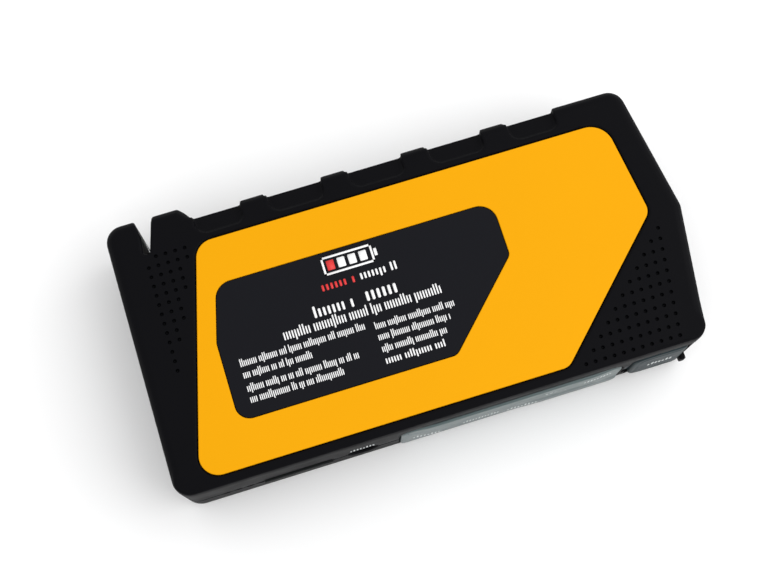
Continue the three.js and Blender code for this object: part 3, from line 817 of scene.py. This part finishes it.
def port_cuts(x, y, z):
    """Everything that is cut into the port wall, with its rim radius."""
    for index in range(USB_COUNT):
        opening = centred(usb_centre(index), PART_Z, USB_HALF_SIZE, 0.6)
        yield wall_hole(corner_field(opening, x, z), y, SOCKET_DEPTH_Y), 0.3
        window = circle_field(x, z, FIRST_LED_X + LED_PITCH * index, PART_Z, LED_HOLE_RADIUS)
        yield wall_hole(window, y, RECESS_Y), 0.2
    button = centred(BUTTON_X, PART_Z, BUTTON_HOLE_HALF_SIZE, 2.88)
    yield wall_hole(corner_field(button, x, z), y, RECESS_Y), 0.4
    yield wall_hole(circle_field(x, z, JACK_X, PART_Z, JACK_HOLE_RADIUS), y, RECESS_Y), 0.5
    for corners, inner, rim in (
        (FLAP_RECESS_CORNERS, FLAP_SEAT_Y, 0.4),
        (rectangle(62.5, 3.2, 84.4, 27.6, 1.6), CAP_SEAT_Y, 0.5),
        (centred(SOCKET_X, PART_Z, SOCKET_HALF_SIZE, 1.2), SOCKET_DEPTH_Y, 0.3),
        (rectangle(60.9, 9.5, 64, 21.5), TETHER_SEAT_Y, 0.3),
        (rectangle(-10.3, 0.9, 50.3, 3), HINGE_SEAT_Y, 0.3),
    ):
        yield wall_hole(corner_field(corners, x, z), y, inner), rim


def lamp_hole(x, y, z):
    """The round hole for the lamp, square to the slanted end wall."""
    across = (y - LAMP_Y) * math.cos(LAMP_ANGLE) - (x - LAMP_X) * math.sin(LAMP_ANGLE)
    along = (x - LAMP_X) * math.cos(LAMP_ANGLE) + (y - LAMP_Y) * math.sin(LAMP_ANGLE)
    return np.maximum(np.hypot(across, z - PART_Z) - LAMP_RADIUS - GAP, np.abs(along) - 6)


def casing_field(x, y, z):
    """Both shells in one, hollow inside and with all their openings."""
    body = outer_field(x, y, z)
    body = without(body, corner_field(NOTCH_CORNERS, x, y), 0.7)
    blade = corner_field(inset(BLADE_CORNERS, -GAP), x, y)
    body = without(body, np.maximum(blade, np.abs(z - PART_Z) - BLADE_SLOT_HALF_HEIGHT))
    seat = corner_field(inset(INLAY_CORNERS, -GAP), x, y)
    body = without(body, np.maximum(seat, PLATE_SEAT_Z - z), 0.3)
    body = without(body, np.maximum(seat, z - FRONT_PLATE_SEAT_Z), 0.3)
    cavity = corner_field(CAVITY_CORNERS, x, y)
    body = without(body, both(cavity, box_field(z, FLOOR_TOP_Z, CEILING_Z), 1.0))
    for screw_x, screw_y in SCREWS:
        centre = np.hypot(x - screw_x, y - screw_y)
        body = either(body, np.maximum(centre - SCREW_BOSS_RADIUS, box_field(z, 3, 33)), 0.8)
        body = without(body, np.maximum(centre - SCREW_HOLE_RADIUS, SCREW_HOLE_START_Z - z))
        body = without(body, np.maximum(centre - SCREW_HEAD_RADIUS, SCREW_HEAD_START_Z - z))
    for cut, rim in port_cuts(x, y, z):
        body = without(body, cut, rim)
    return without(body, lamp_hole(x, y, z), 0.5)


def back_field(x, y, z):
    """The half above the parting line."""
    return both(casing_field(x, y, z), PART_Z + PART_GAP / 2 - z, 0.3)


def front_field(x, y, z):
    """The half below the parting line."""
    return both(casing_field(x, y, z), z - PART_Z + PART_GAP / 2, 0.3)


def dimple_places():
    """Centres of the moulded dimples at both ends of the back face."""
    for row in range(RIGHT_DIMPLE_ROWS):
        for index in range(RIGHT_DIMPLE_ROWS - row):
            x = RIGHT_DIMPLES_X + RIGHT_DIMPLE_SHIFT * row - RIGHT_DIMPLE_PITCH * index
            yield x, RIGHT_DIMPLES_Y + RIGHT_DIMPLE_ROW * row
    for row, (first, last) in enumerate(LEFT_DIMPLE_SPANS):
        for column in range(first, last):
            yield LEFT_DIMPLES_X - LEFT_DIMPLE_PITCH * column, LEFT_DIMPLES_Y - LEFT_DIMPLE_ROW * row


def add_casing():
    left, bottom, right, top = -95, -47, 95, 49
    solid(
        "back_casing", back_field, (left, bottom, 14.5), (right, top, 37), CASING_CELL,
        MATERIALS["casing"], "casing", ["back_shell"], dimple_places(),
    )
    solid(
        "front_casing", front_field, (left, bottom, -1), (right, top, 16.5), CASING_CELL,
        MATERIALS["casing"], "casing", ["front_shell"],
    )


def add_plates():
    window = inset(LABEL_CORNERS, -0.25)
    plate("back_inlay", INLAY_CORNERS, PLATE_SEAT_Z + 0.2, HEIGHT, 0.3,
          MATERIALS["inlay"], "back_inlay_plate", window)
    plate("rating_label", LABEL_CORNERS, PLATE_SEAT_Z + 0.2, HEIGHT - 0.05, 0.2,
          MATERIALS["label"], "rating_label_plate")
    plate("front_inlay", INLAY_CORNERS, 0.25, FRONT_PLATE_SEAT_Z - 0.2, 0.25,
          MATERIALS["inlay"], "front_inlay_plate")


# ---------------------------------------------------------------- print on the label

def add_stroke(sheets, left, base, width, height, radius=0.12):
    sheets.add(rounded(rectangle(left, base, left + width, base + height, radius), 3))


def print_row(sheets, left, right, base, height, weight, words, phase=0):
    """A line of print, drawn as groups of plain upright strokes, with no letters in it."""
    step = weight * 1.9
    place, count, word = left, phase, 0
    while place + weight <= right:
        for _ in range(3 * words[word % len(words)] // 2):
            if place + weight > right:
                break
            tall = height * (1.0 if count * 7 % 11 in (0, 4) else 0.72)
            drop = height * 0.22 if count * 5 % 13 == 1 else 0
            add_stroke(sheets, place, base - drop, weight, tall + drop, weight * 0.4)
            place += step
            count += 1
        place += step * 0.9
        word += 1


def add_print():
    """The rating label's print: a battery pictogram and rows of strokes."""
    low, high = HEIGHT - 0.08, HEIGHT - 0.005
    white, red = Sheets(low, high), Sheets(low, high)
    left, bottom, wide, tall, line = -27.5, 10.4, 17.5, 6.4, 0.7
    add_stroke(white, left, bottom, wide, line)
    add_stroke(white, left, bottom + tall - line, wide, line)
    add_stroke(white, left, bottom, line, tall)
    add_stroke(white, left + wide - line, bottom, line, tall)
    add_stroke(white, left + wide + 0.35, bottom + tall * 0.3, 1.0, tall * 0.4)
    for index in range(4):
        ink = red if index == 0 else white
        add_stroke(ink, left + 1.5 + 3.75 * index, bottom + 1.5, 2.6, tall - 3.0, 0.3)
    print_row(red, -29.8, -17.2, 5.6, 3.0, 0.8, (4,), 1)
    print_row(white, -16.4, -2.6, 5.8, 3.0, 0.7, (5,), 3)
    print_row(white, -34.8, -19.0, -2.3, 4.0, 0.85, (5, 1), 0)
    print_row(white, -16.6, -3.6, -1.9, 4.6, 1.0, (4,), 2)
    print_row(white, -46.4, 8.2, -6.5, 3.7, 0.5, (7, 8, 5, 3), 4)
    for right, base, words in (
        (-19.7, -10.8, (6, 7, 3, 5, 8, 3)), (-38.2, -14.8, (3, 6, 2, 2)),
        (-24.6, -19.4, (6, 5, 2, 2, 3)), (-30.5, -23.2, (3, 11, 2, 2)),
    ):
        print_row(white, -62.6, right, base, 2.7, 0.34, words, int(-base))
    for right, base, weight in (
        (10.7, -11.9, 0.34), (8.1, -15.8, 0.34), (5.5, -19.9, 0.34), (3.6, -24.0, 0.5),
    ):
        print_row(white, -16.8, right, base, 2.6, weight, (4, 7, 8), int(-base))
    white.make("label_print_white", MATERIALS["print_white"], "casing", "white_plastic")
    red.make("label_print_red", MATERIALS["print_red"], "casing", "wire_red")


# ---------------------------------------------------------------- rubber parts and the blade

def flap_rise(x, z):
    """How far the flap's outer face stands out: its lean, a moulded wave and a swell below it."""
    lean = FLAP_LEAN * np.clip((z - LEAN_START_Z) / FLAP_LEAN_RISE, 0, 1)
    crest = WAVE_MIDDLE_Z + WAVE_SWING * np.sin((x - 4) / 12.5)
    wave = WAVE_HEIGHT * fade(z, crest - 2.2, crest + 1.2) * fade(x, -16, -6) * fade(-x, -57, -48)
    swell = FLAP_SWELL * fade(-z, -11, -7.5) * fade(x, 20, 34)
    return lean + wave + swell


def flap_field(x, y, z):
    """The long port flap, with a pad behind it for each port."""
    outline = corner_field(FLAP_CORNERS, x, z)
    outer = FLAP_OUTER_Y - flap_rise(x, z) - y
    body = both(np.maximum(outline, y - FLAP_INNER_Y), outer, 0.7)
    for index in range(USB_COUNT):
        plug = corner_field(centred(usb_centre(index), PART_Z, USB_PLUG_HALF_SIZE, 0.5), x, z)
        pad = both(plug, box_field(y, FLAP_INNER_Y - 1, FLAP_INNER_Y + 0.25), 0.1)
        body = np.minimum(body, pad)
    return body


def cap_field(x, y, z):
    """The thick socket cap, with a raised middle and a step near its foot."""
    outline = corner_field(CAP_CORNERS, x, z)
    rise = CAP_LIP * fade(-outline, 1.2, 2.4)
    body = both(np.maximum(outline, y - CAP_INNER_Y), CAP_OUTER_Y - rise - y, 0.8)
    step = np.maximum(box_field(z, 6.2, 6.7), y - CAP_OUTER_Y - 0.15)
    return without(body, step, 0.1)


def tab_field(x, y, z):
    """The cap's pull tab."""
    outline = corner_field(rectangle(82.0, 4.8, 84.2, 9.4, 0.8), x, z)
    return both(outline, box_field(y, -47.7, CAP_INNER_Y - 0.6), 0.5)


def button_field(x, y, z):
    """The pill-shaped button, with a fine groove round its face."""
    pill = corner_field(centred(BUTTON_X, PART_Z, BUTTON_HALF_SIZE, 2.58), x, z)
    body = both(np.maximum(pill, y - RECESS_Y), BUTTON_OUTER_Y - y, 0.45)
    groove = np.maximum(np.abs(pill + 0.9) - 0.18, y - BUTTON_OUTER_Y - 0.2)
    return without(body, groove, 0.1)


def blade_field(x, y, z):
    """The belt blade, ground thin along its cutting edge and pinned in two places."""
    outline = corner_field(BLADE_CORNERS, x, y)
    heel, tip = np.array(BLADE_CORNERS[2][:2]), np.array(BLADE_CORNERS[3][:2])
    along = unit(tip - heel)
    back = (x - heel[0]) * along[1] - (y - heel[1]) * along[0]
    thickness = 0.3 * np.clip(-back / 1.8, 0.08, 1)
    body = np.maximum(outline, np.abs(z - PART_Z) - thickness)
    for pin_x, pin_y in BLADE_PINS:
        body = without(body, circle_field(x, y, pin_x, pin_y, 1.15))
    return body


def add_strip(name, start, end, width_axis, low, high, thickness, nodes):
    """A thin rubber hinge strip, laid straight from start to end between two parts."""
    start, end = np.array(start, float), np.array(end, float)
    along = unit(end - start)
    across = np.array((0, -1, 0))
    wide = np.array(width_axis, float)
    steps, vertices, faces = 12, [], []
    reach = np.linalg.norm(end - start)
    for step in range(steps + 1):
        centre = start + along * reach * step / steps
        for side in (low, high):
            for lift in (-thickness / 2, thickness / 2):
                vertices.append(centre + wide * side + across * lift)
    for step in range(steps):
        first, after = 4 * step, 4 * step + 4
        for a, b in ((0, 1), (1, 3), (3, 2), (2, 0)):
            faces.append((first + a, first + b, after + b, after + a))
    last = 4 * steps
    faces += [(0, 2, 3, 1), (last, last + 1, last + 3, last + 2)]
    strip = new_piece(name, vertices, faces, MATERIALS["rubber"], None, nodes)
    turn_faces_out(strip, smooth=False)
    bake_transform(strip)


def add_marks():
    """Small plain raised marks, in rows, on the flap, the cap and the wall above the jack."""
    flap_marks, cap_marks, wall_marks = Sheets(0.12, -0.1), Sheets(0.12, -0.1), Sheets(0.12, -0.1)

    def on_flap(u, v, height):
        return u, FLAP_OUTER_Y - float(flap_rise(u, v)) - height, v

    def on_cap(u, v, height):
        return u, CAP_OUTER_Y - CAP_LIP - height, v

    def on_wall(u, v, height):
        return u, wall_y(v) - height, v

    rows = (
        (flap_marks, on_flap, -14.5, 8, 1.25, 10.5), (flap_marks, on_flap, 3.5, 12, 1.1, 9.0),
        (flap_marks, on_flap, 19.5, 9, 1.25, 6.5), (flap_marks, on_flap, 32.5, 5, 1.6, 15.5),
        (flap_marks, on_flap, 45.5, 9, 1.15, 19.5), (cap_marks, on_cap, 69.0, 7, 1.3, 15.0),
        (wall_marks, on_wall, -36.4, 8, 1.1, 22.3),
    )
    for sheets, surface_at, left, count, pitch, low in rows:
        for index in range(count):
            wide, tall = pitch * 0.5, 1.5 + 0.5 * (index * 3 % 4)
            outline = rounded(rectangle(0, 0, wide, tall, wide * 0.3), 2)
            sheets.add(outline + (left + pitch * index, low), surface_at)
    for name, sheets, body in (
        ("flap_marks", flap_marks, "usb_flap"), ("cap_marks", cap_marks, "socket_cap"),
        ("jack_marks", wall_marks, "casing"),
    ):
        sheets.make(name, MATERIALS["mark_grey"], body, "white_plastic")


def add_rubber_parts():
    """The flap, the cap with its tab, the button, the blade and the two rubber hinges."""
    solid("port_flap", flap_field, (-19.2, -48, 2.2), (59.8, -43, 27.4), RUBBER_CELL,
          MATERIALS["flap_rubber"], "usb_flap", ["usb_flap"])
    solid("jump_cap", cap_field, (62.9, -48.4, 3), (84, -43.8, 27.5), RUBBER_CELL,
          MATERIALS["rubber"], "socket_cap", ["socket_cap"])
    solid("cap_pull_tab", tab_field, (81.5, -48.2, 4.3), (84.7, -44.3, 9.9), 0.2,
          MATERIALS["casing"], "socket_cap")
    solid("button_cap", button_field, (-67.2, -47.2, 12.4), (-41.8, -41.6, 18.6), RUBBER_CELL,
          MATERIALS["button_rubber"], "power_button", ["power_button"])
    solid("belt_blade", blade_field, (-90.4, 32.6, 14.9), (-80.2, 47.2, 16.1), 0.15,
          MATERIALS["blade_steel"], "casing", ["cutter_blade"])
    add_strip("flap_hinge_strip", (20, -44.9, 1.3), (20, -44.9, 3.6), (1, 0, 0), -29.8, 29.8, 0.55,
              ["usb_flap_hinge"])
    add_strip("cap_tether", (61.3, -44.75, 15.5), (65.0, -44.75, 15.5), (0, 0, 1), -5.6, 5.6, 0.8,
              ["socket_cap_tether"])


# ---------------------------------------------------------------- lamp and charge lights

def add_turned_parts():
    """The lamp's lens and reflector, and the charge lights' windows."""
    outward = (math.cos(LAMP_ANGLE), math.sin(LAMP_ANGLE), 0)
    lamp = (LAMP_X, LAMP_Y, PART_Z)
    steps = [5.4 - 0.6 * index for index in range(8)]
    rings = [(6.5, -0.7), (6.35, -0.35), (6.0, -0.2), (5.6, -0.2)]
    for index, radius in enumerate(steps):
        crown = 0.12 - 0.012 * radius
        rings += [(radius, -0.28 + crown), (radius - 0.45, -0.02 + crown)]
    lathe("lamp_front", [(0, -1.6), (6.5, -1.6)] + rings + [(0, 0.12)], lamp, outward,
          MATERIALS["clear_lens"], "casing", ["lamp_lens"])
    bowl = [(2.4 + 3.6 * math.sqrt(share / 10), -8 + 6.1 * share / 10) for share in range(11)]
    lathe("lamp_bowl", [(2.4, -8.5), (6.5, -8.5), (6.5, -1.9)] + bowl[::-1], lamp, outward,
          MATERIALS["reflector"], "casing", ["lamp_reflector"])
    for index in range(LED_COUNT):
        place = (FIRST_LED_X + LED_PITCH * index, 0, PART_Z)
        dome = [(LED_RADIUS * math.cos(turn), 45.2 + 0.3 * math.sin(turn))
                for turn in (0, math.pi / 8, math.pi / 4, 3 * math.pi / 8)]
        lathe(f"charge_light_{index + 1}", [(0, 42.8), (LED_RADIUS, 42.8)] + dome + [(0, 45.5)], place,
              (0, -1, 0), MATERIALS["smoked_lens"], "casing",
              [f"charge_led_window_{index + 1}"], 24)


# ---------------------------------------------------------------- stage, light and camera

def add_camera():
    data = bpy.data.cameras.new("camera")
    data.lens = CAMERA_LENS
    data.sensor_width = 36
    data.clip_start, data.clip_end = 0.01, 20
    camera = bpy.data.objects.new("camera", data)
    camera.location = CAMERA_PLACE
    camera.rotation_euler = (CAMERA_TILT, 0, -CAMERA_AZIMUTH)
    bpy.context.scene.collection.objects.link(camera)
    bpy.context.scene.camera = camera


def add_floor():
    mesh = bpy.data.meshes.new("table")
    size = 3.0
    mesh.from_pydata([(-size, -size, 0), (size, -size, 0), (size, size, 0), (-size, size, 0)], [],
                     [(0, 1, 2, 3)])
    mesh.materials.append(surface_material(
        "white_table", (0.86, 0.86, 0.86), 0.6, level=0.2, spread=0.01, patch=200, grain=2,
        grain_depth=0.001,
    ))
    table = bpy.data.objects.new("table", mesh)
    bpy.context.scene.collection.objects.link(table)


def add_world():
    """Even soft light from all round, a little brighter overhead."""
    world = bpy.data.worlds.new("studio")
    bpy.context.scene.world = world
    world.use_nodes = True
    nodes, links = world.node_tree.nodes, world.node_tree.links
    background = nodes["Background"]
    place = nodes.new("ShaderNodeTexCoord")
    split = nodes.new("ShaderNodeSeparateXYZ")
    ramp = nodes.new("ShaderNodeValToRGB")
    links.new(place.outputs["Generated"], split.inputs[0])
    links.new(split.outputs["Z"], ramp.inputs["Fac"])
    links.new(ramp.outputs["Color"], background.inputs["Color"])
    stops = ramp.color_ramp.elements
    stops[0].position, stops[0].color = 0.0, (0.9, 0.9, 0.91, 1)
    stops[1].position, stops[1].color = 0.9, (1, 1, 1, 1)
    background.inputs["Strength"].default_value = WORLD_STRENGTH


def add_light(name, place, size, power, aim=(0, 0, 0.02)):
    data = bpy.data.lights.new(name, "AREA")
    data.shape = "DISK"
    data.size = size
    data.energy = power
    light = bpy.data.objects.new(name, data)
    light.location = place
    light.rotation_euler = (Vector(aim) - Vector(place)).to_track_quat("-Z", "Y").to_euler()
    bpy.context.scene.collection.objects.link(light)


def add_studio():
    add_camera()
    add_floor()
    add_world()
    add_light("overhead", (0.8, -0.2, 0.9), 1.4, OVERHEAD_POWER)
    bpy.context.scene.view_settings.view_transform = "Standard"


# ---------------------------------------------------------------- making

def finish_cad_nodes():
    """Gives each carried-over CAD node the finish of its slot."""
    for part in frame["record"]["subparts"]:
        node = frame["nodes"][part["node"]]
        node.data.materials.clear()
        node.data.materials.append(MATERIALS[part["material_slot"]])


add_studio()
finish_cad_nodes()
add_casing()
add_plates()
add_print()
add_rubber_parts()
add_marks()
add_turned_parts()
